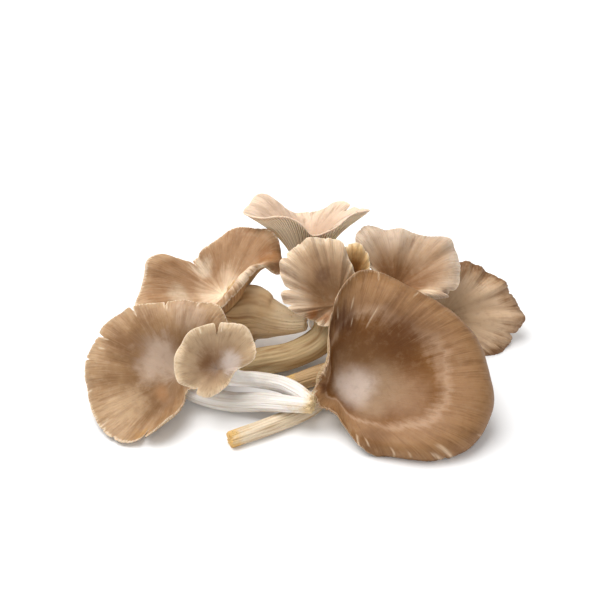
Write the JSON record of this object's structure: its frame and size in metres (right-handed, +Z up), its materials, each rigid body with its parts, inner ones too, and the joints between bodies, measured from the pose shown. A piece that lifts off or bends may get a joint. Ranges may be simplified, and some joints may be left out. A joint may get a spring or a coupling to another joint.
{
  "type": "oyster mushroom cluster",
  "caption": "Heap of oyster mushrooms with wavy fan-shaped caps, gilled undersides and pale stems, resting on each other on a flat surface.",
  "frame": {"origin": "middle of the heap's bounding box, on the surface it lies on", "axes": "+Z up, -Y towards the viewer of the picture, +X to the picture's right"},
  "size_m": [0.2182, 0.135, 0.0681],
  "materials": {
    "large_cap": "matte, moist skin, brown with a paler middle",
    "twin_caps": "matte skin, tan with a whitish middle, white stems",
    "folded_cap": "matte skin, pinkish tan with a pale rolled lip",
    "funnel_cap": "matte skin, pinkish tan inside, cream gills outside",
    "centre_cap": "matte skin, tan with grey-brown grooves, cream stem",
    "back_right_cap": "matte skin, tan with a pale margin",
    "far_right_cap": "matte skin, brown with paler radial folds",
    "small_cap": "matte skin, rust brown"
  },
  "bodies": {
    "root": {"large_mushroom": "large_cap", "twin_mushrooms": "twin_caps", "folded_mushroom": "folded_cap", "funnel_mushroom": "funnel_cap", "centre_mushroom": "centre_cap", "back_right_mushroom": "back_right_cap", "far_right_mushroom": "far_right_cap", "small_mushroom": "small_cap"}
  },
  "joints": []
}
